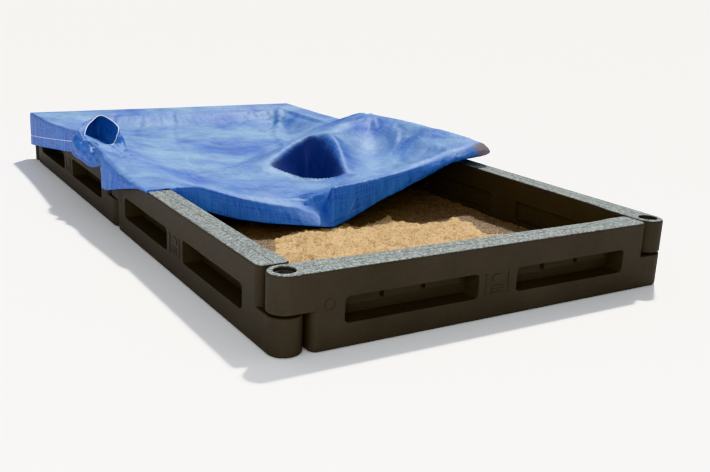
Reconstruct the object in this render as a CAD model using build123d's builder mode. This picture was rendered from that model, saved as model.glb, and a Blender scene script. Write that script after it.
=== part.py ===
"""Modular sandbox, about 4 ft by 8 ft, with sand and a pulled-back fabric cover.

Six identical hollow moulded wall panels stand on edge in a rectangle, one panel wide and two
long. Each panel has an upper knuckle at one end and a lower knuckle at the other, so that the
knuckles of neighbouring panels stack over each other at every joint, and a tubular connector
pin stands in each pair of knuckles. The box holds a bed of damp sand with a heap of dry sand
near the front. The cover is a fitted sheet with skirts: it lies over the rear of the box, its
front edge hangs inside, its left edge is bunched into a pouch on the left wall, and its right
edge is bunched into a low roll along the right wall.

Frame: millimetres, +Z up, origin on the ground at the centre of the rectangle of pins, +X to
the right along the short front wall and +Y to the rear along the long walls.
"""

import os

from build123d import *

os.makedirs("parts", exist_ok=True)

# ---- driving dimensions -------------------------------------------------------------------
PITCH = 1219.2  # pin to pin along a panel, 48 in
HEIGHT = 203.2  # panel height, 8 in
THICK = 88.9  # width over the knuckles, 3.5 in
HALF = THICK / 2
INNER_FACE = 36.0  # the inner wall between the ends, from the parting plane
SHELL = 7.0  # wall of the hollow moulding

KNUCKLE_GAP = 6.0  # vertical gap between the stacked knuckles
NOTCH = 51.0  # end wall beside the neighbour's knuckle, from the pin
END_LENGTH = 105.0  # stretch at each end that keeps the full width
SWELL_LENGTH = 95.0  # over which the inner face swells out to the full width

HOLE_R = 27.0  # pin hole in a knuckle
PIN_R = 26.5
PIN_BORE_R = 22.0
PIN_TOP_DROP = 9.0  # the pin's top under the panel's top

WINDOW_LENGTH = 405.0
WINDOW_HEIGHT = 68.0
WINDOW_Z = 97.0  # centre height of the recessed windows
WINDOW_POST = 130.0  # solid post between the two windows
WINDOW_FLOOR = 13.0  # floor of the outer recess, from the parting plane
INNER_RECESS = 16.0  # depth of the shallow recess on the inner wall
WINDOW_CORNER = 13.0

WALL_TOP = HEIGHT
X_PINS = PITCH / 2
OUTER_X = X_PINS + HALF
OUTER_Y = PITCH + HALF

BED_TOP = 48.0
HEAP_TOP = 80.0
SAND_GAP = 1.5

SHEET = 2.5  # the cover's solid stands for cloth and its small wrinkles
SHEET_GAP = 0.8
SKIRT_GAP = 3.5
SKIRT_DEPTH = 150.0


# ---- wall panel ---------------------------------------------------------------------------
def window_centres():
    """Places of a panel's two windows along the panel."""
    offset = (WINDOW_POST + WINDOW_LENGTH) / 2
    return PITCH / 2 - offset, PITCH / 2 + offset


def panel_form(inset):
    """The panel's outer form, or the form of its hollow when every face moves in by inset."""
    swell_y = (HALF + INNER_FACE) / 2
    with BuildPart() as form:
        with BuildSketch(Plane.XY.offset(inset)):
            with BuildLine():
                outer = Line((0, -HALF), (PITCH, -HALF))
                nose = ThreePointArc(outer @ 1, (PITCH + HALF, 0), (PITCH, HALF))
                wide = Line(nose @ 1, (PITCH - END_LENGTH, HALF))
                sink = TangentArc(wide @ 1, (PITCH - END_LENGTH - SWELL_LENGTH / 2, swell_y), tangent=wide % 1)
                settle = TangentArc(
                    sink @ 1, (PITCH - END_LENGTH - SWELL_LENGTH, INNER_FACE), tangent=sink % 1
                )
                inner = Line(settle @ 1, (END_LENGTH + SWELL_LENGTH, INNER_FACE))
                lift = TangentArc(inner @ 1, (END_LENGTH + SWELL_LENGTH / 2, swell_y), tangent=inner % 1)
                rise = TangentArc(lift @ 1, (END_LENGTH, HALF), tangent=lift % 1)
                back = Line(rise @ 1, (0, HALF))
                ThreePointArc(back @ 1, (-HALF, 0), outer @ 0)
            make_face()
            if inset:
                offset(amount=-inset)
        extrude(amount=HEIGHT - 2 * inset)

        # the neighbours' knuckles stand in a low notch at one end and a high one at the other
        low_notch = HEIGHT / 2 + KNUCKLE_GAP / 2 + inset
        high_notch = HEIGHT / 2 - KNUCKLE_GAP / 2 - inset
        reach = NOTCH + inset
        with Locations((reach, 0, low_notch)):
            Box(2 * THICK, 2 * THICK, HEIGHT, align=(Align.MAX, Align.CENTER, Align.MAX),
                mode=Mode.SUBTRACT)
        with Locations((PITCH - reach, 0, high_notch)):
            Box(2 * THICK, 2 * THICK, HEIGHT, align=(Align.MIN, Align.CENTER, Align.MIN),
                mode=Mode.SUBTRACT)

        # windows: a deep recess from outside and a shallow one from inside, with a web between
        for face, floor in ((-HALF, WINDOW_FLOOR + inset), (HALF, INNER_FACE - INNER_RECESS - inset)):
            inward = 1 if face < 0 else -1
            with BuildSketch(Plane((0, face, 0), x_dir=(1, 0, 0), z_dir=(0, inward, 0))) as mouths:
                for centre in window_centres():
                    with Locations((centre, -inward * WINDOW_Z)):
                        RectangleRounded(WINDOW_LENGTH + 2 * inset, WINDOW_HEIGHT + 2 * inset,
                                         WINDOW_CORNER + inset)
            extrude(amount=abs(floor - face), mode=Mode.SUBTRACT)

        with Locations((0, 0, HEIGHT / 2), (PITCH, 0, HEIGHT / 2)):
            Cylinder(HOLE_R + inset, 2 * HEIGHT, mode=Mode.SUBTRACT)
    return form.part


def wall_panel():
    """One hollow panel, with its upper knuckle at the origin and its outer face to -Y."""
    corner, rim, split_rim = 21.0, 7.0, 3.5
    with BuildPart() as panel:
        add(panel_form(0))
        # rounded upright corners beside the notches
        ends = [e for e in panel.edges().filter_by(Axis.Z)
                if abs(abs(e.center().Y) - HALF) < 1
                and min(abs(e.center().X - NOTCH), abs(e.center().X - PITCH + NOTCH)) < 1]
        fillet(ends, radius=corner)
        # soft rims along the top and the bottom
        for side in (panel.faces().sort_by(Axis.Z)[-1], panel.faces().sort_by(Axis.Z)[0]):
            fillet(side.outer_wire().edges(), radius=rim)
        splits = [f for f in panel.faces().filter_by(Axis.Z)
                  if abs(abs(f.center().Z - HEIGHT / 2) - KNUCKLE_GAP / 2) < 1]
        for split in splits:
            round_edges = [e for e in split.outer_wire().edges()
                           if e.geom_type == GeomType.CIRCLE]
            fillet(round_edges, radius=split_rim)
        # countersunk rims of the pin holes
        rims = [e for e in panel.edges().filter_by(GeomType.CIRCLE)
                if abs(e.radius - HOLE_R) < 0.01
                and min(abs(e.center().Z - HEIGHT), abs(e.center().Z)) < 0.01]
        chamfer(rims, length=2.0)
    with BuildPart() as detailed:
        add(panel.part)
        # parting groove along the top and the bottom
        groove, start = 1.4, HALF + 3
        for z in (HEIGHT, 0):
            with Locations((start, 0, z)):
                Box(PITCH - 2 * start, groove, 2 * groove, align=(Align.MIN, Align.CENTER, Align.CENTER),
                    mode=Mode.SUBTRACT)
        # stepped pads on the upper part of the window floor
        pads, pad_gap, pad_height, pad_proud, pad_step, sunk = 3, 14.0, 40.0, 13.0, 3.0, 1.0
        pad_length = (WINDOW_LENGTH - 40 - pad_gap * (pads - 1)) / pads
        for centre in window_centres():
            for k in range(pads):
                x = centre - WINDOW_LENGTH / 2 + 12 + k * (pad_length + pad_gap)
                with Locations((x, WINDOW_FLOOR + sunk, WINDOW_Z + WINDOW_HEIGHT / 2 + sunk)):
                    Box(pad_length, pad_proud + sunk, pad_height - pad_step * k + sunk,
                        align=(Align.MIN, Align.MAX, Align.MAX))
        # generic mark on the post: a plain boss above three short bars
        with BuildSketch(Plane.XZ.offset(HALF - 1)):
            with Locations((PITCH / 2, WINDOW_Z + 14)):
                Ellipse(21, 13)
            with GridLocations(0, 9, 1, 3):
                with Locations((PITCH / 2, WINDOW_Z - 17)):
                    SlotOverall(44, 5)
            for side in (-1, 1):
                with Locations((PITCH / 2 + side * 38, WINDOW_Z)):
                    SlotOverall(62, 6, rotation=90)
        extrude(amount=2.4)
        # round blow-pin mark beside the first window
        with BuildSketch(Plane.XZ.offset(HALF - 1)):
            with Locations((PITCH / 2 - WINDOW_POST / 2 - WINDOW_LENGTH - 42, WINDOW_Z + 22)):
                Circle(15)
                Circle(12.5, mode=Mode.SUBTRACT)
        extrude(amount=2, mode=Mode.SUBTRACT)
        add(panel_form(SHELL), mode=Mode.SUBTRACT)
    return detailed.part


PLACES = {  # panel: the pin that its upper knuckle turns on, and the way it runs
    "front_panel": (-X_PINS, -PITCH, 0),
    "right_front_panel": (X_PINS, -PITCH, 90),
    "right_rear_panel": (X_PINS, 0, 90),
    "back_panel": (X_PINS, PITCH, 180),
    "left_rear_panel": (-X_PINS, PITCH, 270),
    "left_front_panel": (-X_PINS, 0, 270),
}


# ---- connector pins -----------------------------------------------------------------------
def connector_pin():
    """A tube that stands in two stacked knuckles, open from end to end."""
    with BuildPart() as pin:
        Cylinder(PIN_R, HEIGHT - PIN_TOP_DROP, align=(Align.CENTER, Align.CENTER, Align.MIN))
        outside = pin.edges().filter_by(GeomType.CIRCLE)
        chamfer(outside, length=1.5)
        with Locations((0, 0, HEIGHT / 2)):
            Cylinder(PIN_BORE_R, 2 * HEIGHT, mode=Mode.SUBTRACT)
    return pin.part


PINS = {
    "pin_front_left": (-X_PINS, -PITCH),
    "pin_front_right": (X_PINS, -PITCH),
    "pin_middle_left": (-X_PINS, 0),
    "pin_middle_right": (X_PINS, 0),
    "pin_rear_left": (-X_PINS, PITCH),
    "pin_rear_right": (X_PINS, PITCH),
}


# ---- sand ---------------------------------------------------------------------------------
def sand_bed():
    """Damp sand over the whole floor, filled out to the set-back inner walls."""
    clear = HALF + SAND_GAP
    set_back = HALF - INNER_FACE
    lobe = PITCH - 2 * (END_LENGTH + SWELL_LENGTH)
    with BuildPart() as bed:
        with BuildSketch():
            Rectangle(PITCH - 2 * clear, 2 * (PITCH - clear))
            Rectangle(lobe, 2 * (PITCH - clear + set_back))
            for y in (-PITCH / 2, PITCH / 2):
                with Locations((0, y)):
                    Rectangle(PITCH - 2 * clear + 2 * set_back, lobe)
        extrude(amount=BED_TOP)
    return bed.part


def sand_heap():
    """Low heap of dry sand in the front part of the box, lying on the bed."""
    foot = [(-430, -1165), (470, -1165), (480, -620), (240, -470), (-60, -570), (-330, -590)]
    crown = [(-330, -1080), (370, -1080), (370, -700), (200, -570), (-40, -650), (-250, -680)]
    with BuildPart() as heap:
        for outline, z in ((foot, BED_TOP), (crown, HEAP_TOP)):
            with BuildSketch(Plane.XY.offset(z)):
                with BuildLine():
                    Polyline(*outline, close=True)
                make_face()
        loft(ruled=True)
    return heap.part


# ---- cover --------------------------------------------------------------------------------
# The cover is one sewn sheet. Its two bunched lumps are solids of their own, which lie on the
# flat part face to face.
SHEET_LOW = WALL_TOP + SHEET_GAP
SHEET_TOP = SHEET_LOW + SHEET
COVER_SIDE = OUTER_X + SKIRT_GAP + SHEET
COVER_REAR = OUTER_Y + SKIRT_GAP + SHEET


def cover_sheet():
    """The flat part of the cover with its skirts and with the front edge that hangs inside."""
    left_front, tip, right_front = (-COVER_SIDE, -370), (-100, -565), (COVER_SIDE, -380)
    left_drop, tip_drop, right_drop = 60.0, 128.0, 45.0

    with BuildPart() as sheet:
        # the flat part lies on the walls
        with BuildSketch(Plane.XY.offset(SHEET_LOW)):
            with BuildLine():
                Polyline((-COVER_SIDE, COVER_REAR), (COVER_SIDE, COVER_REAR), right_front, tip,
                         left_front, close=True)
            make_face()
        extrude(amount=SHEET)

        # it sags between the walls into a shallow dish
        dish_x, dish_y, dish_middle, sag, slope = 1080.0, 1440.0, 425.0, 38.0, 260.0
        for skin, mode in ((SHEET, Mode.ADD), (0, Mode.SUBTRACT)):
            for shrink, z in ((0, SHEET_TOP), (slope, SHEET_TOP - sag - skin)):
                with BuildSketch(Plane.XY.offset(z)):
                    with Locations((0, dish_middle)):
                        Rectangle(dish_x - shrink + 2 * skin, dish_y - shrink + 2 * skin)
            loft(mode=mode)

        # skirts outside the rear part of the walls
        with Locations((0, COVER_REAR, SHEET_TOP)):
            Box(2 * COVER_SIDE, SHEET, SKIRT_DEPTH, align=(Align.CENTER, Align.MAX, Align.MAX))
        skirt_front, skirt_middle, shallow, deeper = 440.0, 695.0, 60.0, 72.0
        for sign in (-1, 1):
            with BuildSketch(Plane((sign * COVER_SIDE, 0, 0), x_dir=(0, 1, 0), z_dir=(1, 0, 0))):
                with BuildLine():
                    Polyline((skirt_front, SHEET_TOP), (COVER_REAR, SHEET_TOP),
                             (COVER_REAR, SHEET_TOP - SKIRT_DEPTH),
                             (skirt_middle, SHEET_TOP - deeper), (skirt_front, SHEET_TOP - shallow),
                             close=True)
                make_face()
            extrude(amount=-sign * SHEET)

        # the front edge hangs inside the box and is deepest at the corner of the skirt
        inside = PITCH / 2 - HALF - 6
        for end, wall, drop in ((left_front, -inside, left_drop), (right_front, inside, right_drop)):
            run = Vector(*end) - Vector(*tip)
            reach = run.length * (wall - tip[0]) / run.X
            along = run.normalized()
            with BuildSketch(Plane((*tip, 0), x_dir=along, z_dir=along.cross(Vector(0, 0, 1)))):
                with BuildLine():
                    Polyline((0, SHEET_LOW), (reach, SHEET_LOW), (reach, SHEET_TOP - drop),
                             (reach * 0.25, SHEET_TOP - drop - 12), (0, SHEET_TOP - tip_drop),
                             close=True)
                make_face()
            extrude(amount=SHEET / 2, both=True)
    return sheet.part


def cover_roll():
    """Hollow roll of bunched cloth along the right wall."""
    stations = ((-380, 64), (-200, 91), (150, 87), (380, 65), (560, 16))  # y and height
    middle, half = 90.0, 470.0
    with BuildPart() as roll:
        for skin, mode in ((0, Mode.ADD), (SHEET, Mode.SUBTRACT)):
            for y, rise in stations:
                station = middle + (y - middle) * (1 - 3 * skin / half)
                with BuildSketch(Plane.XZ.offset(-station)):
                    with BuildLine():
                        Polyline(
                            (COVER_SIDE - skin, SHEET_TOP + skin),
                            (COVER_SIDE - 6 - skin, SHEET_TOP + rise * 0.7),
                            (COVER_SIDE - 42, SHEET_TOP + rise - skin),
                            (COVER_SIDE - 95, SHEET_TOP + rise * 0.8 - skin),
                            (COVER_SIDE - 175 + 3 * skin, SHEET_TOP + skin),
                            close=True,
                        )
                    make_face()
            loft(ruled=True, mode=mode)
    return roll.part


def cover_pouch():
    """Hollow pouch bunched on the left wall, with a lobe that hangs over the outside."""
    middle_x = -OUTER_X + 62
    levels = ((0, 205, 225, 480), (58, 225, 190, 400), (94, 290, 110, 240))  # height, y, sizes
    lobe_thick = 34.0
    with BuildPart() as pouch:
        for skin, mode in ((0, Mode.ADD), (SHEET, Mode.SUBTRACT)):
            for k, (height, y, width, length) in enumerate(levels):
                with BuildSketch(Plane.XY.offset(SHEET_TOP + height + skin * (1 - k))):
                    with Locations((middle_x + 8 * k, y)):
                        Rectangle(width - 3 * skin, length - 3 * skin)
            loft(ruled=True, mode=mode)
        for skin, mode in ((0, Mode.ADD), (SHEET, Mode.SUBTRACT)):
            face = Plane((-COVER_SIDE - skin, 0, 0), x_dir=(0, 1, 0), z_dir=(1, 0, 0))
            with BuildSketch(face):
                with BuildLine():
                    Polyline(
                        (-350 + 4 * skin, SHEET_TOP - skin), (60 - skin, SHEET_TOP - skin),
                        (60 - skin, 158 + skin), (0, 136 + skin), (-150, 158 + skin),
                        (-350 + 4 * skin, 196 + skin / 2), close=True,
                    )
                make_face()
            extrude(amount=-(lobe_thick - 2 * skin), mode=mode)
    return pouch.part


# ---- write the parts ----------------------------------------------------------------------
def write(piece, name):
    """Labels a finished piece and writes its STEP file."""
    piece.label = name
    export_step(piece, f"parts/{name}.step")
    print(name, round(piece.volume / 1e6, 3), "litres")


panel_master = wall_panel()
for name, (x, y, turn) in PLACES.items():
    write(panel_master.moved(Location((x, y, 0), (0, 0, turn))), name)

pin_master = connector_pin()
for name, (x, y) in PINS.items():
    write(pin_master.moved(Location((x, y, 0))), name)

write(sand_bed(), "sand_bed")
write(sand_heap(), "sand_heap")
write(cover_sheet(), "cover")
write(cover_roll(), "cover_roll")
write(cover_pouch(), "cover_pouch")
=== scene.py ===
import math

import bpy
import numpy as np
from mathutils import Matrix, Vector, noise


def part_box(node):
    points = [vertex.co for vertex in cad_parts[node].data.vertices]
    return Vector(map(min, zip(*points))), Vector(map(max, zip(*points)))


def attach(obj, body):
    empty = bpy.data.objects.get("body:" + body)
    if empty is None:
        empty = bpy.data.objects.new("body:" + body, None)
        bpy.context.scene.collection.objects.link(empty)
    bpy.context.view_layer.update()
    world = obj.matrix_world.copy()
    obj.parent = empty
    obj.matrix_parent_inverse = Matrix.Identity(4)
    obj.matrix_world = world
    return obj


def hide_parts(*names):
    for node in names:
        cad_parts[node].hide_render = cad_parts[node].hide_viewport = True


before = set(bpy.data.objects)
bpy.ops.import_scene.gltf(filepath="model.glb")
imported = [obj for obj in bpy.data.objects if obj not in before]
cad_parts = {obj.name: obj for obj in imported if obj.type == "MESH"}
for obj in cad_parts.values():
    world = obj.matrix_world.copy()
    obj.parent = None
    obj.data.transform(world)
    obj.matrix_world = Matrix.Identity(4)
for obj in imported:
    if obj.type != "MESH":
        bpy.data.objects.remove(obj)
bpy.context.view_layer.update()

MM = 0.001

# ---- places taken from the frame -----------------------------------------------------------
PANELS = [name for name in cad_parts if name.endswith("_panel")]
PINS = [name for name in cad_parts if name.startswith("pin_")]
WALL_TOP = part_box("front_panel")[1][2]
bed_low, bed_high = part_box("sand_bed")
BED_UNDER, BED_TOP = bed_low[2], bed_high[2]
REST = WALL_TOP + 0.003  # height of cloth that lies on a wall


# ---- camera, light and floor ---------------------------------------------------------------
def add_camera():
    """Stands at the front left, a little above the box, with a slight roll."""
    azimuth, elevation, roll = 0.5566, -0.2816, 0.0436  # radians; azimuth from +Y towards +X
    place, lens, sees_to = (-1.482, -2.920, 0.8425), 44.3, 200
    forward = Vector((math.cos(elevation) * math.sin(azimuth),
                      math.cos(elevation) * math.cos(azimuth), math.sin(elevation)))
    level = forward.cross(Vector((0, 0, 1))).normalized()
    upright = level.cross(forward)
    right = math.cos(roll) * level + math.sin(roll) * upright
    up = math.cos(roll) * upright - math.sin(roll) * level
    camera = bpy.data.objects.new("camera", bpy.data.cameras.new("camera"))
    bpy.context.scene.collection.objects.link(camera)
    camera.data.lens = lens
    camera.data.clip_end = sees_to
    pose = Matrix((right, up, -forward)).transposed().to_4x4()
    pose.translation = place
    camera.matrix_world = pose
    bpy.context.scene.camera = camera


def add_lamp(light, shines_along, place=(0, 0, 0)):
    """Puts a light at a place, shining along a direction."""
    lamp = bpy.data.objects.new(light.name, light)
    lamp.location = place
    lamp.rotation_euler = shines_along.to_track_quat("-Z", "Y").to_euler()
    bpy.context.scene.collection.objects.link(lamp)


def add_light():
    """A high sun from behind on the right, a soft fill from the front left and a pale sky."""
    world = bpy.data.worlds.new("studio")
    bpy.context.scene.world = world
    world.use_nodes = True
    sky = world.node_tree.nodes["Background"].inputs
    sky["Color"].default_value = (0.94, 0.97, 1.0, 1)
    sky["Strength"].default_value = 0.46
    bpy.context.scene.view_settings.view_transform = "Khronos PBR Neutral"

    sun = bpy.data.lights.new("sun", "SUN")
    sun.energy = 3.6
    sun.angle = math.radians(5)
    sun.color = (1.0, 0.96, 0.9)
    to_sun = Vector((0.42, 0.38, 0.80))
    add_lamp(sun, -to_sun)

    fill = bpy.data.lights.new("fill", "AREA")
    fill.energy = 120
    fill.size = 3
    fill_place, fill_target = Vector((-3.0, -4.5, 2.2)), Vector((-0.2, -0.5, 0.1))
    add_lamp(fill, fill_target - fill_place, fill_place)


def add_floor():
    """A pale floor just under the box, flat out to 12 m, that rises gently to a far backdrop."""
    rings = [(12, 0.0), (20, 0.15), (30, 0.75), (45, 2.5), (65, 6.5), (90, 14.0)]  # half side, height
    corners = ((-1, -1), (1, -1), (1, 1), (-1, 1))
    under_box = 0.001
    points = [(x * half, y * half, height - under_box) for half, height in rings for x, y in corners]
    faces = [(0, 1, 2, 3)]
    for first in range(0, 4 * (len(rings) - 1), 4):
        faces += [(first + k, first + 4 + k, first + 4 + (k + 1) % 4, first + (k + 1) % 4)
                  for k in range(4)]
    mesh = bpy.data.meshes.new("floor")
    mesh.from_pydata(points, [], faces)
    mesh.polygons.foreach_set("use_smooth", [True] * len(mesh.polygons))
    floor = bpy.data.objects.new("floor", mesh)
    bpy.context.scene.collection.objects.link(floor)
    pale = Shader("studio_floor")
    pale.set("Base Color", (0.95, 0.95, 0.955, 1))
    pale.set("Roughness", 1.0)
    pale.set("Specular IOR Level", 0.0)
    mesh.materials.append(pale.material)


# ---- materials -----------------------------------------------------------------------------
class Shader:
    """A procedural material: thin helpers around one node tree."""

    def __init__(self, name):
        self.material = bpy.data.materials.new(name)
        self.material.use_nodes = True
        self.tree = self.material.node_tree
        self.surface = self.tree.nodes["Principled BSDF"]

    def set(self, socket, value):
        self.surface.inputs[socket].default_value = value

    def node(self, kind, **settings):
        made = self.tree.nodes.new("ShaderNode" + kind)
        for key, value in settings.items():
            setattr(made, key, value)
        return made

    def link(self, output, target):
        self.tree.links.new(output, target)

    def coordinates(self, kind="Object", stretch=(1, 1, 1)):
        source = self.node("TexCoord").outputs[kind]
        mapping = self.node("Mapping")
        mapping.inputs["Scale"].default_value = stretch
        self.link(source, mapping.inputs["Vector"])
        return mapping.outputs["Vector"]

    def noise(self, scale, detail=3.0, roughness=0.55, where=None, distortion=0.0):
        made = self.node("TexNoise")
        made.inputs["Scale"].default_value = scale
        made.inputs["Detail"].default_value = detail
        made.inputs["Roughness"].default_value = roughness
        made.inputs["Distortion"].default_value = distortion
        self.link(where or self.coordinates(), made.inputs["Vector"])
        return made.outputs["Fac"]

    def cells(self, scale, where=None, feature="F1"):
        made = self.node("TexVoronoi", feature=feature)
        made.inputs["Scale"].default_value = scale
        self.link(where or self.coordinates(), made.inputs["Vector"])
        return made.outputs["Distance"]

    def waves(self, scale, where, direction="X", distortion=0.0):
        made = self.node("TexWave", bands_direction=direction)
        made.inputs["Scale"].default_value = scale
        made.inputs["Distortion"].default_value = distortion
        self.link(where, made.inputs["Vector"])
        return made.outputs["Fac"]

    def ramp(self, factor, stops):
        made = self.node("ValToRGB")
        elements = made.color_ramp.elements
        while len(elements) < len(stops):
            elements.new(0.5)
        for element, (place, color) in zip(elements, stops):
            element.position = place
            element.color = (*color, 1) if hasattr(color, "__len__") else (color, color, color, 1)
        self.link(factor, made.inputs["Fac"])
        return made.outputs["Color"]

    def mix(self, factor, a, b):
        made = self.node("Mix", data_type="RGBA")
        for socket, value in ((made.inputs[0], factor), (made.inputs[6], a), (made.inputs[7], b)):
            if isinstance(value, (int, float)):
                socket.default_value = value
            elif isinstance(value, tuple):
                socket.default_value = (*value, 1)
            else:
                self.link(value, socket)
        return made.outputs[2]

    def math(self, operation, a, b=0.0):
        made = self.node("Math", operation=operation)
        for socket, value in zip(made.inputs, (a, b)):
            if isinstance(value, (int, float)):
                socket.default_value = value
            else:
                self.link(value, socket)
        return made.outputs[0]

    def bump(self, height, strength, distance):
        made = self.node("Bump")
        made.inputs["Strength"].default_value = strength
        made.inputs["Distance"].default_value = distance
        self.link(height, made.inputs["Height"])
        previous = self.surface.inputs["Normal"]
        if previous.is_linked:
            self.link(previous.links[0].from_socket, made.inputs["Normal"])
        self.link(made.outputs["Normal"], previous)

    def color(self, output):
        self.link(output, self.surface.inputs["Base Color"])

    def rough(self, output):
        self.link(output, self.surface.inputs["Roughness"])

    def z_of(self, vector):
        """The z part of a vector output."""
        split = self.node("SeparateXYZ")
        self.link(vector, split.inputs[0])
        return split.outputs["Z"]

    def upness(self):
        """1 on faces that look up, 0 on walls."""
        return self.z_of(self.node("NewGeometry").outputs["Normal"])


def wall_plastic():
    """Dark moulded plastic with a pebbled grain, and a painted sheen of greenish grey on the wall tops."""
    s = Shader("wall_plastic")
    patches = s.noise(6.0, 4.0)
    grain = s.cells(330.0)
    fine = s.noise(900.0, 2.0)
    dark = s.ramp(patches, [(0.3, (0.032, 0.027, 0.021)), (0.7, (0.047, 0.040, 0.032))])
    speckled = s.mix(s.ramp(fine, [(0.45, 0.0), (0.75, 0.4)]), dark, (0.10, 0.085, 0.068))
    ragged = s.math("MULTIPLY", s.math("SUBTRACT", s.noise(240.0, 3.0), 0.5), 0.55)
    edge = s.math("ADD", s.upness(), ragged)
    # by height in metres: the painted sheen stays off ledges lower down, such as those of the windows,
    # which stay dark
    high = s.ramp(s.z_of(s.coordinates()), [(0.182, 0.0), (0.194, 1.0)])
    # Painted sheen: faces that look up are paled to a pebbled greenish grey, with a ragged edge, for the
    # sunlit glossy tops.
    painted_top_sheen = s.math("MULTIPLY", s.ramp(edge, [(0.66, 0.0), (0.86, 1.0)]), high)
    coarse_pebbles = s.math("MULTIPLY", s.noise(165.0, 3.0, 0.75), 0.6)
    pebbles = s.math("ADD", coarse_pebbles, s.math("MULTIPLY", s.noise(430.0), 0.4))
    pale = s.ramp(pebbles, [(0.40, (0.06, 0.07, 0.07)), (0.5, (0.19, 0.215, 0.215)),
                            (0.6, (0.40, 0.45, 0.44))])
    s.color(s.mix(painted_top_sheen, speckled, pale))
    s.rough(s.ramp(patches, [(0.2, 0.52), (0.8, 0.68)]))
    s.set("Specular IOR Level", 0.15)
    s.bump(s.math("ADD", grain, s.math("MULTIPLY", fine, 0.5)), 0.35, 0.0012)
    s.bump(s.noise(14.0, 3.0), 0.25, 0.004)
    return s.material


def pin_plastic():
    """Grey moulded tube, scuffed round its rim."""
    s = Shader("pin_plastic")
    scuffs = s.noise(60.0, 5.0, 0.7)
    s.color(s.ramp(scuffs, [(0.3, (0.05, 0.052, 0.056)), (0.62, (0.11, 0.115, 0.12)),
                            (0.8, (0.26, 0.27, 0.28))]))
    s.rough(s.ramp(scuffs, [(0.2, 0.42), (0.8, 0.7)]))
    s.bump(s.noise(500.0, 2.0), 0.2, 0.0006)
    return s.material


def damp_sand():
    """Sand painted dark brown as painted shade, with paler grains scattered over it."""
    s = Shader("damp_sand")
    broad = s.noise(9.0, 5.0, 0.65)
    grains = s.noise(430.0, 3.0, 0.8)
    crumb_bumps_and_shade = s.noise(120.0, 4.0, 0.75)
    base = s.ramp(broad, [(0.3, (0.10, 0.066, 0.040)), (0.55, (0.19, 0.125, 0.075)),
                          (0.75, (0.30, 0.205, 0.125))])
    flecked = s.mix(s.ramp(grains, [(0.52, 0.0), (0.64, 0.9)]), base, (0.74, 0.56, 0.37))
    # Painted shade: the near-black specks sit in the hollows between the crumbs, where the bump is low.
    s.color(s.mix(s.ramp(crumb_bumps_and_shade, [(0.38, 0.9), (0.5, 0.0)]), flecked, (0.03, 0.018, 0.011)))
    s.set("Roughness", 0.85)
    s.bump(grains, 0.6, 0.002)
    s.bump(crumb_bumps_and_shade, 0.6, 0.006)
    return s.material


def dry_sand():
    """Sand painted pale tan as painted sunlight, with fine grains and small crumbs."""
    s = Shader("dry_sand")
    broad = s.noise(12.0, 5.0, 0.6)
    grains = s.noise(520.0, 3.0, 0.8)
    crumb_bumps_and_shade = s.noise(140.0, 4.0, 0.7)
    base = s.ramp(broad, [(0.3, (0.68, 0.46, 0.23)), (0.7, (0.86, 0.63, 0.36))])
    flecked = s.mix(s.ramp(grains, [(0.36, 0.75), (0.5, 0.0)]), base, (0.30, 0.19, 0.10))
    # Painted shade: darker specks sit in the hollows between the crumbs, where the bump is low.
    s.color(s.mix(s.ramp(crumb_bumps_and_shade, [(0.34, 0.85), (0.47, 0.0)]), flecked, (0.30, 0.17, 0.07)))
    s.set("Roughness", 0.9)
    s.bump(grains, 0.6, 0.002)
    s.bump(crumb_bumps_and_shade, 0.9, 0.009)
    return s.material


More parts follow.
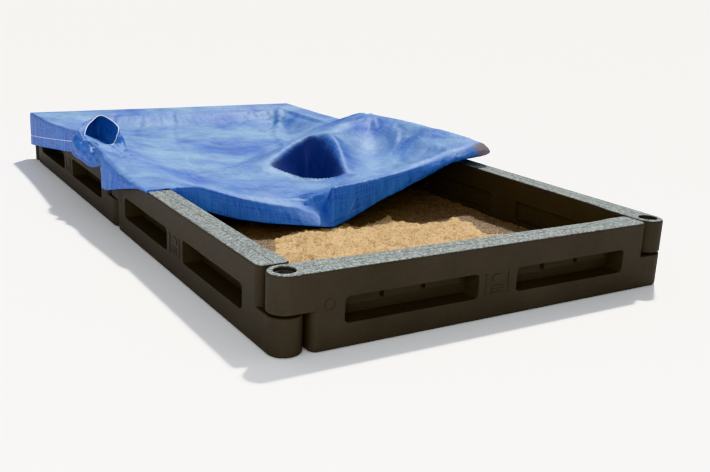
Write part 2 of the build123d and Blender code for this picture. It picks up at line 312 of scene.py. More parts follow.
def woven_cover():
    """Blue woven polyethylene sheet: crossed tapes, slubs, pale creases, a painted sheen on faces that look
    up, brown dust on the nose, painted shade in the hollow and a soft gloss."""
    s = Shader("woven_cover")
    flat = s.coordinates("UV")  # metres on the flat cloth
    tapes = s.math("MAXIMUM", s.waves(95.0, flat, "X", 0.6), s.waves(95.0, flat, "Y", 0.6))
    slubs_x = s.noise(1.0, 3.0, 0.6, s.coordinates("UV", (210, 8, 1)))
    slubs_y = s.noise(1.0, 3.0, 0.6, s.coordinates("UV", (8, 210, 1)))
    slubs = s.math("ADD", slubs_x, slubs_y)
    worn = s.noise(6.0, 6.0, 0.62, flat, 0.6)
    base = s.ramp(worn, [(0.25, (0.018, 0.055, 0.29)), (0.5, (0.030, 0.085, 0.38)),
                         (0.78, (0.048, 0.15, 0.47))])
    streaked = s.mix(s.ramp(slubs, [(0.85, 0.0), (1.25, 0.36)]), base, (0.10, 0.27, 0.60))
    cell_edges = s.cells(5.5, s.coordinates("UV", (1.0, 1.6, 1)), "DISTANCE_TO_EDGE")
    creases = s.ramp(cell_edges, [(0.0, 1.0), (0.018, 0.0)])
    broken = s.math("MULTIPLY", creases, s.ramp(s.noise(11.0, 4.0, 0.6, flat), [(0.5, 0.0), (0.68, 0.4)]))
    creased = s.mix(broken, streaked, (0.34, 0.54, 0.74))
    # Painted sheen: faces that look up are paled to greyish blue in broken patches, standing in for the
    # glossy reflection of sky and sun.
    painted_sheen = s.math("MULTIPLY", s.ramp(s.upness(), [(0.55, 0.0), (1.0, 1.0)]),
                   s.ramp(s.noise(3.2, 6.0, 0.68, flat, 0.3), [(0.36, 0.0), (0.62, 0.92)]))
    sheen_patches = s.ramp(s.noise(75.0, 4.0, 0.7, flat), [(0.36, 0.6), (0.64, 1.0)])
    with_painted_sheen = s.mix(s.math("MULTIPLY", painted_sheen, sheen_patches), creased, (0.28, 0.44, 0.57))
    # Painted shade: this mask darkens the cloth in the hollow under the ridge, where shade falls.
    hollow_shade = s.node("Attribute", attribute_name="hollow_shade").outputs["Fac"]
    dust = s.node("Attribute", attribute_name="dust").outputs["Fac"]
    # The deep blue here is painted shade for the hollow; the brown is real dust on the nose.
    s.color(s.mix(dust, s.mix(hollow_shade, with_painted_sheen, (0.020, 0.026, 0.125)), (0.15, 0.115, 0.105)))
    s.rough(s.ramp(worn, [(0.2, 0.46), (0.8, 0.60)]))
    s.set("Specular IOR Level", 0.22)
    s.bump(tapes, 0.25, 0.0006)
    s.bump(slubs, 0.25, 0.0016)
    s.bump(creases, 0.25, 0.0014)
    s.bump(s.noise(22.0, 5.0, 0.6, flat, 0.4), 0.3, 0.006)
    return s.material


def white_thread():
    """Pale twisted thread, for the stitches and the binding."""
    s = Shader("white_thread")
    twist = s.noise(900.0, 2.0)
    s.color(s.ramp(twist, [(0.3, (0.62, 0.66, 0.72)), (0.7, (0.88, 0.9, 0.93))]))
    s.set("Roughness", 0.7)
    s.bump(twist, 0.4, 0.0005)
    return s.material


# ---- mesh helpers --------------------------------------------------------------------------
def add_object(name, points, faces, material, body, smooth=True):
    """Makes a piece from points and faces that rides on a body."""
    mesh = bpy.data.meshes.new(name)
    mesh.from_pydata([tuple(p) for p in points], [], faces)
    mesh.materials.append(material)
    if smooth:
        mesh.polygons.foreach_set("use_smooth", [True] * len(mesh.polygons))
    piece = bpy.data.objects.new(name, mesh)
    bpy.context.scene.collection.objects.link(piece)
    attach(piece, body)
    return piece


def grid_faces(rows, columns, start=0):
    """Quads of a grid whose points run row by row."""
    return [
        (start + r * columns + c, start + r * columns + c + 1,
         start + (r + 1) * columns + c + 1, start + (r + 1) * columns + c)
        for r in range(rows - 1) for c in range(columns - 1)
    ]


def closed_terrain(top, rows, columns, floor_z):
    """Closes a height grid with sides and a flat underside, and returns points and faces."""
    points = [tuple(p) for p in top]
    faces = grid_faces(rows, columns)
    rim = list(range(columns))
    rim += [r * columns + columns - 1 for r in range(1, rows)]
    rim += [(rows - 1) * columns + c for c in range(columns - 2, -1, -1)]
    rim += [r * columns for r in range(rows - 2, 0, -1)]
    base = len(points)
    points += [(points[i][0], points[i][1], floor_z) for i in rim]
    count = len(rim)
    for k in range(count):
        after = (k + 1) % count
        faces.append((rim[after], rim[k], base + k, base + after))
    faces.append(tuple(base + k for k in range(count - 1, -1, -1)))
    return points, faces


def smoothstep(low, high, value):
    t = np.clip((value - low) / (high - low), 0, 1)
    return t * t * (3 - 2 * t)


def fractal(x, y, scale, octaves=4, z=0.0):
    """Fractal noise about 0, of size about 1, at one point."""
    return noise.fractal((x * scale, y * scale, z), 0.6, 2.1, octaves)


# ---- sand ----------------------------------------------------------------------------------
PITCH = 1.2192  # pin to pin along a panel


def wall_swell(along):
    """How far the inner wall stands back, in metres, at a distance from the nearest joint."""
    depth, starts, full = 0.0082, 0.108, 0.197
    return depth * smoothstep(starts, full, along)


def add_sand_bed(material):
    """The bed, in sand coloured with painted shade, filled out to the set-back inner walls, with an uneven
    surface.
    """
    rows, columns = 300, 150
    half_x, half_y = 0.5636, 1.1732  # at the joints, where the inner walls stand closest
    top = []
    for r in range(rows):
        for c in range(columns):
            t, s = 2 * r / (rows - 1) - 1, 2 * c / (columns - 1) - 1
            y0, x0 = t * half_y, s * half_x
            near_joint_y = min(abs(y0), PITCH - abs(y0))
            near_joint_x = PITCH / 2 - abs(x0)
            x = s * (half_x + float(wall_swell(near_joint_y)))
            y = t * (half_y + float(wall_swell(near_joint_x)))
            z = (BED_TOP + 0.005 * fractal(x, y, 5) + 0.0035 * fractal(x, y, 24)
                 + 0.002 * fractal(x, y, 90, 2))
            top.append((x, y, z))
    above_ground = 0.0005
    points, faces = closed_terrain(top, rows, columns, BED_UNDER + above_ground)
    piece = add_object("painted_shade_sand_bed", points, faces, material, "box")
    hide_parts("sand_bed")


# Plan outline of the heap, which is also where the painted sunlight on the sand ends, in millimetres.
HEAP_EDGE = [(-430, -1160), (-445, -900), (-400, -700), (-308, -556), (-197, -478), (-111, -474),
             (-1, -462), (34, -520), (110, -478), (199, -432), (196, -520), (237, -582), (335, -563),
             (417, -556), (425, -640), (368, -730), (440, -820), (470, -1000), (460, -1160)]


def edge_distance(x, y, outline):
    """Signed distance to a closed outline, positive inside."""
    inside, nearest = False, 1e9
    for k, (x1, y1) in enumerate(outline):
        x0, y0 = outline[k - 1]
        if (y0 > y) != (y1 > y) and x < (x1 - x0) * (y - y0) / (y1 - y0) + x0:
            inside = not inside
        dx, dy = x1 - x0, y1 - y0
        t = max(0.0, min(1.0, ((x - x0) * dx + (y - y0) * dy) / (dx * dx + dy * dy)))
        nearest = min(nearest, math.hypot(x - x0 - t * dx, y - y0 - t * dy))
    return nearest if inside else -nearest


def add_sand_heap(material):
    """Sand thrown on the bed, coloured with painted sunlight: lumpy, with a ragged edge where it thins out.
    """
    outline = [(x * MM, y * MM) for x, y in HEAP_EDGE]
    step = 0.004
    low_x, high_x, low_y, high_y = -0.50, 0.52, -1.172, -0.40
    buried, under = 0.012, 0.016  # how far its thin margin and its underside are below the bed
    columns = int((high_x - low_x) / step)
    rows = int((high_y - low_y) / step)
    top = []
    for r in range(rows):
        for c in range(columns):
            x, y = low_x + c * step, low_y + r * step
            ragged = 0.022 * fractal(x, y, 16) + 0.009 * fractal(x, y, 55)
            inward = edge_distance(x, y, outline) + ragged
            body = (0.026 * float(smoothstep(-0.01, 0.15, inward))
                    + 0.007 * float(smoothstep(-0.004, 0.012, inward)))
            lumps = (0.010 * fractal(x, y, 11, 4, 3.1) + 0.008 * fractal(x, y, 38, 3)
                     + 0.004 * fractal(x, y, 120, 2))
            lumpy = 0.35 + 0.65 * float(smoothstep(0, 0.08, inward))
            lift = float(smoothstep(-0.012, 0.01, inward))
            z = BED_TOP - buried * (1 - lift) + (body + lumps * lumpy) * lift
            top.append((x, y, max(z, BED_TOP - buried)))
    points, faces = closed_terrain(top, rows, columns, BED_TOP - under)
    piece = add_object("painted_sunlit_sand_heap", points, faces, material, "box")
    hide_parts("sand_heap")


# ---- cover ---------------------------------------------------------------------------------
# The cover's shape is drawn with lines of points (x, y, z) in millimetres: where it folds, where it
# lies on the walls and where it dips. Heights between the lines are interpolated.
LEFT, RIGHT, REAR = -658.0, 656.0, 1268.0

FRONT_FOLD = [(-658, -372, 206), (-600, -362, 207), (-486, -384, 206), (-366, -425, 168),
              (-268, -460, 147), (-200, -485, 137), (-120, -514, 104), (-93, -534, 207),
              (-16, -534, 209), (90, -514, 215), (200, -490, 225), (340, -458, 247),
              (475, -430, 268), (560, -414, 279), (620, -402, 286), (656, -392, 281)]
FRONT_HEM = [(-661, -380, 200), (-600, -374, 203.6), (-578, -376, 203.6), (-572, -378, 192),
             (-562, -382, 168), (-490, -402, 136), (-380, -440, 104), (-300, -482, 94),
             (-206, -524, 88), (-124, -556, 82), (-98, -566, 80), (-20, -543, 96),
             (96, -513, 131), (208, -491, 161), (345, -461, 197), (480, -430, 233),
             (560, -417, 238), (620, -408, 239), (660, -396, 240)]

LINES = {
    "front": FRONT_FOLD,
    "hollow": [(-58, -56, 164), (-10, -28, 142), (62, 12, 128), (118, 26, 128), (134, -66, 130),
               (108, -176, 142), (74, -270, 160)],
    "hollow_floor": [(10, -90, 132), (40, -180, 140)],
    "left_wall": [(-658, -372, 209), (-657, -200, 214), (-657, -60, 226), (-656, 60, 240), (-656, 200, 250),
                  (-656, 300, 256), (-657, 430, 262), (-657, 600, 246), (-657, 800, 228), (-657, 1000, 216),
                  (-658, 1268, 210)],
    "left_wall_inside": [(-580, -350, 209), (-585, -100, 214), (-585, 550, 222), (-585, 800, 214),
                         (-585, 1150, 209)],
    "rear_wall": [(-658, 1268, 210), (0, 1268, 209), (656, 1268, 210)],
    "rear_wall_inside": [(-590, 1195, 209), (-200, 1195, 208), (300, 1195, 208), (590, 1195, 209)],
    "right_edge": [(656, -392, 280), (656, -300, 276), (656, -100, 268), (656, 150, 264), (656, 300, 255),
                   (656, 450, 236), (656, 590, 211), (656, 900, 208), (656, 1268, 210)],
    "crest": [(620, -402, 284), (632, -320, 292), (622, -200, 298), (604, -32, 300), (588, 150, 299),
              (560, 251, 300), (592, 380, 284), (622, 500, 250), (642, 610, 216), (648, 900, 208),
              (648, 1240, 210)],
    "ridge": [(560, 251, 300), (470, 205, 288), (385, 170, 289), (280, 110, 276), (215, 92, 262),
              (155, 80, 258), (75, 62, 227), (-10, 20, 199), (-92, -32, 183)],
    "apex": [(155, 80, 258), (160, 10, 258), (149, -80, 244), (124, -200, 217), (95, -335, 188)],
    "lip": [(-92, -32, 183), (-84, -130, 185), (-50, -232, 185), (25, -315, 186), (95, -345, 188)],
    "valley": [(95, -335, 188), (190, -215, 192), (300, -75, 200), (370, 0, 213), (430, 90, 250),
               (470, 180, 280)],
    "bowl": [(180, -400, 205), (330, -300, 226), (450, -180, 244), (530, -60, 262)],
    "shelf": [(420, -370, 252), (520, -300, 268), (580, -220, 284)],
    "behind_ridge": [(420, 330, 240), (330, 330, 206), (180, 230, 192), (20, 150, 184), (-90, 60, 183)],
    "corner_crease": [(540, 1140, 205), (470, 980, 180), (400, 760, 168), (340, 560, 170)],
    "right_slope": [(585, 1000, 203), (585, 800, 203), (575, 620, 206)],
    "rear_sag": [(-420, 1010, 186), (-150, 1000, 182), (150, 1000, 182), (380, 1030, 184)],
    "floor_left": [(-440, 700, 190), (-460, 350, 194), (-450, 0, 194), (-440, -200, 192)],
    "floor_middle": [(-150, 700, 178), (-150, 400, 178), (-160, 100, 181), (-200, -150, 181)],
    "floor_right": [(130, 720, 176), (120, 450, 177), (250, 420, 186)],
    "floor_front": [(-400, -310, 186), (-300, -350, 178), (-180, -390, 172), (-60, -440, 184),
                    (20, -420, 192)],
}

# Plan outline of the hollow under the ridge, where painted shade darkens the cloth, in millimetres.
HOLLOW_EDGE = [(-74, -28), (-9, 16), (76, 63), (158, 84), (166, 12), (155, -78), (128, -198),
               (93, -312), (48, -268), (-16, -194), (-42, -114)]


def sampled(line, step=30.0):
    """Points every step or so along a line of straight runs."""
    points = np.array(line, dtype=float)
    out = [points[0]]
    for a, b in zip(points, points[1:]):
        count = max(1, int(round(np.linalg.norm(b[:2] - a[:2]) / step)))
        out += [a + (b - a) * k / count for k in range(1, count + 1)]
    return np.array(out)


class Heights:
    """Height over the plan: radial interpolation of the shape lines. Its kernel is the distance
    itself, so that the surface is creased along the lines."""

    def __init__(self, lines):
        same_place, smoothing = 4, -0.6  # points in one 4 mm square count once
        points = np.concatenate([sampled(line) for line in lines])
        keys = np.round(points[:, :2] / same_place).astype(int)
        _, keep = np.unique(keys, axis=0, return_index=True)
        self.at = points[np.sort(keep)]
        size = len(self.at)
        spread = np.linalg.norm(self.at[:, None, :2] - self.at[None, :, :2], axis=2)
        system = np.zeros((size + 3, size + 3))
        system[:size, :size] = spread + np.eye(size) * smoothing
        system[:size, size] = system[size, :size] = 1
        system[:size, size + 1:] = self.at[:, :2] * MM
        system[size + 1:, :size] = self.at[:, :2].T * MM
        values = np.concatenate([self.at[:, 2], np.zeros(3)])
        self.weights = np.linalg.solve(system, values)

    def __call__(self, plan):
        spread = np.linalg.norm(plan[:, None, :] - self.at[None, :, :2], axis=2)
        linear = self.weights[-3] + plan @ self.weights[-2:] * MM
        return spread @ self.weights[:-3] + linear


def at_share(line, shares):
    """Points at given shares of a line's length in plan."""
    points = np.array(line, dtype=float)
    lengths = np.concatenate([[0], np.cumsum(np.linalg.norm(np.diff(points[:, :2], axis=0), axis=1))])
    lengths /= lengths[-1]
    return np.stack([np.interp(shares, lengths, points[:, k]) for k in range(3)], axis=1)


def along_y(knots, y):
    """Values between knots (y, value)."""
    table = np.array(knots, dtype=float)
    return np.interp(y, table[:, 0], table[:, 1])


COLUMNS, ROWS, SKIRT = 161, 200, 12  # points across and along the top, and down each skirt
TOP_ROWS, TOP_COLUMNS = slice(SKIRT, SKIRT + ROWS), slice(SKIRT, SKIRT + COLUMNS)

# Hem heights and bulge of the side skirts against y, in millimetres.
LEFT_HEM = [(-372, 204), (-330, 205), (-255, 190), (-150, 166), (-40, 138), (45, 128), (62, 176),
            (90, 198), (150, 203), (300, 192), (443, 178), (700, 140), (1000, 98), (1268, 64)]
LEFT_OUT = [(-372, 2), (-255, 12), (-100, 20), (40, 20), (80, 8), (300, 6), (500, 8), (800, 5),
            (1268, 3)]
RIGHT_HEM = [(-392, 236), (-300, 206), (-150, 168), (100, 150), (350, 146), (600, 128), (900, 96),
             (1268, 64)]
REAR_HEM, REAR_OUT, RIGHT_OUT = 62, 2.5, 4


def cover_surface():
    """Points of the cover in one grid: left skirt, top and right skirt across, front skirt to rear
    skirt along. Returns the grid and, for each point, its place on the flat cloth."""
    heights = Heights(LINES.values())
    fold = at_share(FRONT_FOLD, np.linspace(0, 1, COLUMNS))
    fold_x = fold[:, 0].copy()
    hem_x = [point[0] for point in FRONT_HEM]
    hem = np.stack([np.interp(fold_x, hem_x, [point[k] for point in FRONT_HEM]) for k in range(3)],
                   axis=1)

    top = np.zeros((ROWS, COLUMNS, 3))
    for r, t in enumerate(np.linspace(0, 1, ROWS)):
        top[r, :, 0] = fold_x
        top[r, :, 1] = fold[:, 1] * (1 - t) + REAR * t
    top[:, :, 2] = heights(top[:, :, :2].reshape(-1, 2)).reshape(ROWS, COLUMNS)
    top[0, :, 2] = fold[:, 2]
    rolls = smoothstep(60, 420, fold_x)  # the front edge is rolled over towards the right
    for r, lower in enumerate((9, 4.5, 1.5)):
        top[r, :, 2] -= lower * rolls
    fold = top[0].copy()
    front_out = 4 + (rolls * 11 + smoothstep(560, 640, fold_x) * 8)

    total_rows, total_columns = ROWS + 2 * SKIRT, COLUMNS + 2 * SKIRT
    grid = np.zeros((total_rows, total_columns, 3))
    grid[TOP_ROWS, TOP_COLUMNS] = top
    for k, d in enumerate(np.linspace(0, 1, SKIRT + 1)[1:]):
        front = fold * (1 - d) + hem * d
        front[:, 1] -= front_out * math.sin(math.pi * d) ** 0.8
        grid[SKIRT - 1 - k, TOP_COLUMNS] = front
        rear = top[-1].copy()
        rear[:, 1] = REAR + REAR_OUT * min(1, 3 * d)
        rear[:, 2] = rear[:, 2] * (1 - d) + REAR_HEM * d
        grid[SKIRT + ROWS + k, TOP_COLUMNS] = rear
        left = top[:, 0].copy()
        left_out = along_y(LEFT_OUT, left[:, 1])
        left[:, 0] = LEFT - left_out * math.sin(math.pi * min(0.5, 0.25 + d * 0.45))
        left[:, 2] = left[:, 2] * (1 - d) + along_y(LEFT_HEM, left[:, 1]) * d
        grid[TOP_ROWS, SKIRT - 1 - k] = left
        right = top[:, -1].copy()
        right[:, 0] = RIGHT + RIGHT_OUT * math.sin(math.pi * min(0.5, d))
        right[:, 2] = right[:, 2] * (1 - d) + along_y(RIGHT_HEM, right[:, 1]) * d
        grid[TOP_ROWS, SKIRT + COLUMNS + k] = right

    flat = np.zeros((total_rows, total_columns, 2))
    across = np.linalg.norm(np.diff(grid[SKIRT + ROWS // 2], axis=0), axis=1)
    lengthwise = np.linalg.norm(np.diff(grid[:, SKIRT + COLUMNS // 2], axis=0), axis=1)
    flat[:, :, 0] = np.concatenate([[0], np.cumsum(across)])[None, :] * MM
    flat[:, :, 1] = np.concatenate([[0], np.cumsum(lengthwise)])[:, None] * MM
    return grid, flat


def in_corner(r, c):
    """True where the boxed corners leave the grid empty."""
    return (r < SKIRT or r >= SKIRT + ROWS) and (c < SKIRT or c >= SKIRT + COLUMNS)


# Long creases in the sheet, in millimetres: line, height (negative for a groove) and half width.
CREASES = [
    ([(12, 1250), (-144, 806), (-267, 311), (-330, -8)], -3.5, 20),
    ([(-215, 1040), (-367, 757)], -4, 22),
    ([(-459, -78), (-347, -38), (-230, -52), (-104, -70)], 4, 18),
    ([(270, 1010), (400, 1130)], -9, 30),
    ([(305, 819), (461, 1020), (500, 1080)], -11, 30),
    ([(520, 1090), (470, 990), (289, 625), (186, 387)], 10, 28),
    ([(63, -417), (217, -279), (521, -1)], 6, 30),
    ([(367, -216), (324, -398)], -4, 26),
    ([(-470, -239), (-358, -470)], -4, 28),
    ([(-302, -200), (-238, -245)], 3, 16),
    ([(-277, 1180), (-343, 1063), (-420, 760)], -4, 22),
    ([(-598, 236), (-606, 130), (-622, 56)], 9, 15),
    ([(-566, 232), (-572, 120), (-590, 40)], 8, 14),
    ([(-520, 860), (-330, 800), (-80, 870), (160, 840)], 3, 20),
    ([(-60, 560), (120, 470), (330, 480)], -5, 28),
    ([(-480, 240), (-330, 130), (-250, -60)], 3, 20),
    ([(-150, -420), (40, -440), (260, -380)], 4, 22),
    ([(600, 300), (520, 420), (470, 620)], 6, 28),
    ([(420, -330), (470, -120), (560, 60)], -4, 26),
    ([(-560, 1150), (-440, 1020), (-330, 760)], 5, 26),
]


def distance_to_line(x, y, line):
    """Distance from each point to a line of straight runs."""
    nearest = np.full(x.shape, 1e9)
    for (x0, y0), (x1, y1) in zip(line, line[1:]):
        dx, dy = x1 - x0, y1 - y0
        t = np.clip(((x - x0) * dx + (y - y0) * dy) / (dx * dx + dy * dy), 0, 1)
        nearest = np.minimum(nearest, np.hypot(x - x0 - t * dx, y - y0 - t * dy))
    return nearest


# Places where the cloth is pulled, in millimetres: x, y, folds round the place and their height.
PULLS = [(-640, 440, 30, 5), (640, 1240, 26, 6), (560, 251, 26, 5), (620, -390, 20, 5), (95, -335, 18, 3)]
HOLLOW_CENTRE = (45, -100)
WALL_INSIDE, REAR_WALL_INSIDE = 545, 1155  # cloth past these lies on a wall, in millimetres


def wrinkle(grid):
    """Long creases, and finer ones that fan out from the places where the cloth is pulled."""
    nearest, farthest = 15, 480
    top = grid[TOP_ROWS, TOP_COLUMNS]
    x, y = top[:, :, 0], top[:, :, 1]
    lift = np.zeros_like(x)
    for k, (px, py, count, size) in enumerate(PULLS):
        away = np.hypot(x - px, y - py)
        turn = np.arctan2(y - py, x - px)
        for r, c in zip(*np.nonzero((away > nearest) & (away < farthest))):
            fan = noise.fractal((turn[r, c] * count / 6.0, k * 7.3, away[r, c] * 0.0016), 0.7, 2.0, 3)
            share = smoothstep(nearest, 90, away[r, c]) * (1 - smoothstep(140, farthest, away[r, c]))
            from_hollow = math.hypot(x[r, c] - HOLLOW_CENTRE[0], y[r, c] - HOLLOW_CENTRE[1])
            share *= smoothstep(110, 200, from_hollow)  # the hollow stays smooth
            lift[r, c] += fan * share * size
    wander = np.array([[noise.fractal((a * 0.008, b * 0.008, 5.0), 0.7, 2.0, 3) for a, b in zip(*row)]
                       for row in zip(x, y)])
    for line, height, half in CREASES:
        away = distance_to_line(x + 14 * wander, y - 14 * wander, line)
        lift += height * np.clip(1 - away / half, 0, 1) ** 1.4
    lift += 1.6 * wander
    from_edge = np.minimum(np.minimum(x - LEFT, RIGHT - x), REAR - y)
    edge = smoothstep(0, 70, from_edge) * smoothstep(0, 40, y - y[0])
    top[:, :, 2] += lift * edge
    on_wall = (np.abs(x) > WALL_INSIDE) | (y > REAR_WALL_INSIDE)
    lowest_on_wall = 206.5
    top[:, :, 2] = np.where(on_wall, np.maximum(top[:, :, 2], lowest_on_wall), top[:, :, 2])


def ripple(along, scale, d, drift, seed):
    """Smooth noise about 0 along a skirt, at a share d of its depth."""
    return noise.fractal((along * scale, drift * d, seed), 0.6, 2.0, 3)


def skirt_ripple(grid):
    """Shallow upright ripples that grow towards the hem."""
    for k in range(SKIRT):
        d = (k + 1) / SKIRT
        front, rear = grid[SKIRT - 1 - k], grid[SKIRT + ROWS + k]
        for c in range(SKIRT, SKIRT + COLUMNS):
            x = front[c, 0]
            beside_corner = float(smoothstep(60, 160, abs(x + 110)))  # none at the front drape's corner
            front[c, 1] += 5 * d * beside_corner * ripple(x, 0.011, d, 0.3, 4.2)
            rear[c, 1] += 4 * d * abs(ripple(x, 0.009, d, 0.3, 9.2))
        left, right = grid[:, SKIRT - 1 - k], grid[:, SKIRT + COLUMNS + k]
        for r in range(SKIRT, SKIRT + ROWS):
            y = left[r, 1]
            left[r, 0] -= 6 * d * abs(ripple(y, 0.010, d, 0.4, 1.7))
            right[r, 0] += 4 * d * abs(ripple(y, 0.016, d, 0.4, 6.1)) - 1


def cover_grid_mesh(grid):
    """Points, faces and a lookup (row, column) to point of the grid without its empty corners."""
    rows, columns = grid.shape[:2]
    index, points = {}, []
    for r in range(rows):
        for c in range(columns):
            if not in_corner(r, c):
                index[r, c] = len(points)
                points.append(grid[r, c] * MM)
    faces = []
    for r in range(rows - 1):
        for c in range(columns - 1):
            ring = [(r, c), (r, c + 1), (r + 1, c + 1), (r + 1, c)]
            if all(p in index for p in ring):
                faces.append([index[p] for p in ring])
    # the boxed corners: the side skirts are sewn to the front and rear skirts
    for side, out in ((SKIRT, -1), (SKIRT + COLUMNS - 1, 1)):
        for end, step in ((SKIRT, -1), (SKIRT + ROWS - 1, 1)):
            for k in range(SKIRT):
                a0, a1 = index[end + step * k, side], index[end + step * (k + 1), side]
                b0, b1 = index[end, side + out * k], index[end, side + out * (k + 1)]
                ring = [a0, a1, b1] if k == 0 else [a0, a1, b1, b0]
                faces.append(ring if out * step < 0 else ring[::-1])
    return points, faces, index


# The pocket is the cover's bunched corner: a bag whose mouth looks forward, in millimetres.
MOUTH = [(-548, 500, 304), (-530, 395, 296), (-532, 318, 283), (-543, 300, 262), (-558, 290, 232),
         (-584, 268, 230), (-613, 248, 236), (-641, 290, 240), (-654, 322, 249), (-642, 372, 268),
         (-604, 440, 288)]
BASE = [(-520, 620, 190), (-497, 500, 190), (-500, 380, 192), (-508, 290, 196), (-522, 216, 203),
        (-548, 140, 205), (-588, 52, 212), (-660, 22, 214), (-690, 110, 186), (-688, 250, 180),
        (-684, 420, 182), (-610, 610, 206)]
BAG_REACH = (34, 200, -70)  # from the middle of the mouth to the bottom of the bag
POCKET_HUB = (-590, 330, 150)  # the outside swells away from here


def closed_curve(points, count):
    """Points along a smooth closed curve through the given ones."""
    knots = np.array(points, dtype=float)
    size = len(knots)
    out = []
    for k in range(count):
        place = k * size / count
        i, t = int(place), place - int(place)
        p0, p1, p2, p3 = (knots[(i + n) % size] for n in (-1, 0, 1, 2))
        out.append(0.5 * (2 * p1 + (p2 - p0) * t + (2 * p0 - 5 * p1 + 4 * p2 - p3) * t * t
                          + (3 * p1 - p0 - 3 * p2 + p3) * t ** 3))
    return np.array(out)


def crumple(x, y, z):
    """Sharp irregular folds: ridged noise, about 0."""
    total, size, scale = 0.0, 1.0, 0.013
    for octave in range(3):
        total += size * (0.45 - abs(noise.noise((x * scale, y * scale, z * scale + 3.1 * octave))) * 2)
        size *= 0.5
        scale *= 2.1
    return total


def pocket_mesh():
    """The bag: an inside, the mouth and an outside that spreads to the sheet, as rings of points."""
    around, outside, inside = 120, 26, 14
    mouth, base = closed_curve(MOUTH, around), closed_curve(BASE, around)
    wobble = np.array([[noise.fractal((a * 0.11, k, 3.0), 0.6, 2.0, 3) * 3.2 for k in range(3)]
                       for a in range(around)])
    mouth += wobble * np.sin(np.linspace(0, math.pi, around))[:, None]
    deep = mouth.mean(axis=0) + np.array(BAG_REACH)
    rings = []
    for k in range(inside, 0, -1):
        t = k / inside
        ring = mouth * (1 - 0.9 * t) + deep * 0.9 * t
        outward = ring - ring.mean(axis=0)
        rough = np.array([crumple(*point) for point in ring * 1.4]) * 9 * math.sin(math.pi * t)
        rings.append(ring + outward * 0.3 * math.sin(math.pi * t) + np.array([0, 0, 1]) * rough[:, None])
    rings.append(mouth)
    for k in range(1, outside + 1):
        t = k / outside
        ring = mouth * (1 - t) + base * t
        outward = ring - np.array(POCKET_HUB)
        outward /= np.linalg.norm(outward, axis=1)[:, None]
        leftness = smoothstep(-0.2, 0.7, -outward[:, 0])
        swell = (5 + 20 * leftness) * math.sin(math.pi * min(1, t * 1.15)) ** 0.8 * (1 - 0.35 * t)
        lip = 17 * smoothstep(0.0, 0.1, t) * (1 - smoothstep(0.14, 0.34, t))
        lip = lip * smoothstep(-0.35, 0.35, -outward[:, 0])
        rough = np.array([crumple(*point) for point in ring])
        rough *= (8 + 20 * leftness) * math.sin(math.pi * min(0.5 + 0.5 * t, 1.2 * t))
        rings.append(ring + outward * (swell + lip + rough)[:, None])
    points = np.concatenate(rings) * MM
    faces = []
    for r in range(len(rings) - 1):
        here, beyond = r * around, (r + 1) * around
        for c in range(around):
            after = (c + 1) % around
            faces.append((here + c, here + after, beyond + after, beyond + c))
    faces.append(tuple(range(around)))  # the bottom of the bag
    return points, faces, mouth * MM


HELD_LINES = ("front", "left_wall", "rear_wall", "right_edge", "crest", "ridge", "apex")


def hold(piece, index, grid):
    """Weights from 0 to 1 for how firmly each point stays in place: most of all along the lines that
    hold the cloth and near the walls, and a little on the skirts."""
    held_at = np.concatenate([sampled(LINES[name], 12.0) for name in HELD_LINES])[:, :2]
    on_skirt = 0.25
    group = piece.vertex_groups.new(name="held")
    for (r, c), i in index.items():
        weight = on_skirt
        if SKIRT <= r < SKIRT + ROWS and SKIRT <= c < SKIRT + COLUMNS:
            x, y, _ = grid[r, c]
            near = float(np.min(np.hypot(held_at[:, 0] - x, held_at[:, 1] - y)))
            to_wall = min(560 - abs(x), 1172 - y)
            weight = max(float(1 - smoothstep(9, 60, near)), float(1 - smoothstep(0, 110, to_wall)))
        group.add([i], weight, "REPLACE")
    return group.name


def settle(piece, index, grid):
    """Lets the cloth sag and buckle a little between the places that hold it: a cloth simulation,
    then at most 22 mm of its motion, and no cloth pushed into the walls."""
    most, frames = 0.022, 26
    held = hold(piece, index, grid)
    design = np.array([v.co[:] for v in piece.data.vertices])
    cloth = piece.modifiers.new("settle", "CLOTH")
    settings = cloth.settings
    settings.quality = 6
    settings.mass = 0.12
    settings.tension_stiffness = settings.compression_stiffness = 18
    settings.shear_stiffness = 6
    settings.bending_stiffness = 1.2
    settings.air_damping = 2.0
    settings.vertex_group_mass = held
    settings.shrink_min = -0.010
    cloth.collision_settings.use_collision = False
    cloth.point_cache.frame_start = 1
    cloth.point_cache.frame_end = frames
    scene = bpy.context.scene
    for number in range(1, frames + 1):
        scene.frame_set(number)
    ready = piece.evaluated_get(bpy.context.evaluated_depsgraph_get())
    moved = np.array([v.co[:] for v in ready.to_mesh().vertices])
    ready.to_mesh_clear()
    piece.modifiers.remove(cloth)
    scene.frame_set(1)
    shift = moved - design
    length = np.linalg.norm(shift, axis=1)
    shift *= (np.minimum(length, most) / np.maximum(length, 1e-9))[:, None]
    settled = design + shift
    past_walls = (np.abs(settled[:, 0]) > WALL_INSIDE * MM) | (settled[:, 1] > REAR_WALL_INSIDE * MM)
    not_skirt = (np.abs(design[:, 0]) < 0.6555) & (design[:, 1] < 1.2665) & (design[:, 2] > WALL_TOP)
    lowest_on_wall = REST + 0.001
    settled[:, 2] = np.where(past_walls & not_skirt, np.maximum(settled[:, 2], lowest_on_wall),
                             settled[:, 2])
    piece.data.vertices.foreach_set("co", settled.ravel())


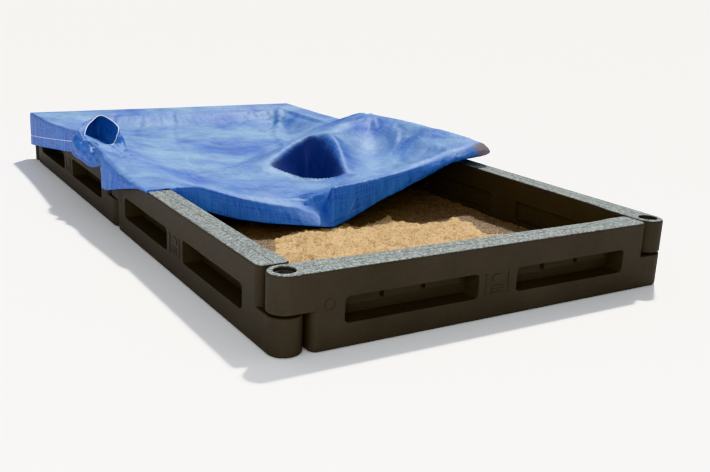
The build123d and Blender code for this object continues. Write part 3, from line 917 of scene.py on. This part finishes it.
def add_cover(material):
    """The fitted cover: the settled sheet with its pocket. Returns the piece, the pocket's mouth and
    the settled point at each place of the grid."""
    # Besides the thickness and the dust, this sets how strongly painted shade darkens the hollow.
    thickness, dustiest, deepest_hollow_shade, past_cloth = 0.0012, 0.9, 0.85, 3  # the pocket's UVs lie past_cloth m off
    grid, flat = cover_surface()
    wrinkle(grid)
    skirt_ripple(grid)
    points, faces, index = cover_grid_mesh(grid)
    piece = add_object("fitted_cover", points, faces, material, "cover")
    settle(piece, index, grid)
    places = [flat[p] for p in index]

    points = [v.co[:] for v in piece.data.vertices]
    faces = [tuple(f.vertices) for f in piece.data.polygons]
    settled = {place: Vector(points[i]) for place, i in index.items()}
    dust = [dustiest * float(smoothstep(560, 615, grid[r, c, 0])) * (r < SKIRT + 2) for r, c in index]
    # Painted shade: a soft mask over the hollow under the ridge, where shade falls.
    hollow_shade = [deepest_hollow_shade * float(smoothstep(-3, 7, edge_distance(grid[r, c, 0], grid[r, c, 1], HOLLOW_EDGE)))
            for r, c in index]

    pocket_points, pocket_faces, mouth = pocket_mesh()
    base = len(points)
    points += [tuple(p) for p in pocket_points]
    faces += [tuple(base + i for i in face) for face in pocket_faces]
    places += [(p[1] + past_cloth, p[2] + p[0]) for p in pocket_points]
    dust += [0.0] * len(pocket_points)
    hollow_shade += [0.0] * len(pocket_points)

    joined = bpy.data.meshes.new("fitted_cover_mesh")
    joined.from_pydata(points, [], faces)
    joined.materials.append(material)
    joined.polygons.foreach_set("use_smooth", [True] * len(joined.polygons))
    layer = joined.uv_layers.new(name="flat")
    for loop in joined.loops:
        layer.data[loop.index].uv = places[loop.vertex_index]
    joined.attributes.new("dust", "FLOAT", "POINT").data.foreach_set("value", dust)
    # This attribute carries the painted shade of the hollow.
    joined.attributes.new("hollow_shade", "FLOAT", "POINT").data.foreach_set("value", hollow_shade)
    piece.data = joined
    piece.vertex_groups.clear()
    solid = piece.modifiers.new("thickness", "SOLIDIFY")
    solid.thickness = thickness
    solid.offset = 0
    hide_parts("cover", "cover_roll", "cover_pouch")
    return piece, mouth, settled


def skirt_point(settled, place, inward, above_hem):
    """A point on a skirt, above_hem metres above its hem, measured along the cloth. place is the
    hem's grid place and inward the grid step from it towards the top."""
    here = settled[place]
    climbed = 0.0
    for k in range(1, SKIRT + 1):
        up = settled[place[0] + inward[0] * k, place[1] + inward[1] * k]
        run = (up - here).length
        if climbed + run >= above_hem:
            return here.lerp(up, (above_hem - climbed) / run)
        climbed += run
        here = up
    return here


def add_stitches(settled, material):
    """Rows of stitches that hold the hem of the side and rear skirts."""
    pitch, long, half, proud, above_hem = 0.0085, 0.0062, 0.0011, 0.0018, 0.042
    last_row, last_column = ROWS + 2 * SKIRT - 1, COLUMNS + 2 * SKIRT - 1
    past_pocket = SKIRT + 66  # the bunched part of the left skirt shows no stitches
    sides = [
        ([(r, 0) for r in range(past_pocket, SKIRT + ROWS)], (0, 1), Vector((-1, 0, 0.1))),
        ([(r, last_column) for r in range(SKIRT, SKIRT + ROWS)], (0, -1), Vector((1, 0, 0.1))),
        ([(last_row, c) for c in range(SKIRT, SKIRT + COLUMNS)], (-1, 0), Vector((0, 1, 0.1))),
    ]
    ring = [(0, 1, 5, 4), (1, 2, 6, 5), (2, 3, 7, 6), (3, 0, 4, 7), (3, 2, 1, 0), (4, 5, 6, 7)]
    points, faces = [], []
    for hem, inward, out in sides:
        line = [skirt_point(settled, place, inward, above_hem) for place in hem]
        spare = 0.0
        for a, b in zip(line, line[1:]):
            run = (b - a).length
            ahead = (b - a) / run
            up = ahead.cross(out).normalized()
            place = spare
            while place + long < run:
                start = a + ahead * place
                base = len(points)
                for along in (0.0, long):
                    for offset in (-half, half):
                        points.append(start + ahead * along + up * offset)
                    for offset in (half, -half):
                        points.append(start + ahead * along + up * offset * 0.6 + out * proud)
                faces += [tuple(base + i for i in face) for face in ring]
                place += pitch
            spare = max(0.0, place - run)
    return add_object("hem_stitches", points, faces, material, "cover", False)


def add_binding(mouth, material):
    """The white round edge of the pocket's mouth: a closed tube."""
    radius, around = 0.0017, 8
    askew = Vector((0.13, 0.21, 0.97))  # never along the mouth
    path = [Vector(p) for p in mouth]
    size = len(path)
    points, faces = [], []
    for k, p in enumerate(path):
        ahead = (path[(k + 1) % size] - path[k - 1]).normalized()
        side = ahead.cross(askew).normalized()
        up = side.cross(ahead)
        for a in range(around):
            turn = 2 * math.pi * a / around
            points.append(p + radius * (side * math.cos(turn) + up * math.sin(turn)))
    for k in range(size):
        for a in range(around):
            b, c = (a + 1) % around, (k + 1) % size
            faces.append((k * around + a, k * around + b, c * around + b, c * around + a))
    return add_object("pocket_binding", points, faces, material, "cover")


# ---- build ---------------------------------------------------------------------------------
add_camera()
add_light()
add_floor()
for names, material in ((PANELS, wall_plastic()), (PINS, pin_plastic())):
    for name in names:
        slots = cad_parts[name].data.materials
        slots.clear()
        slots.append(material)
add_sand_bed(damp_sand())
add_sand_heap(dry_sand())
thread = white_thread()
cover, mouth, settled = add_cover(woven_cover())
binding = add_binding(mouth, thread)
stitches = add_stitches(settled, thread)
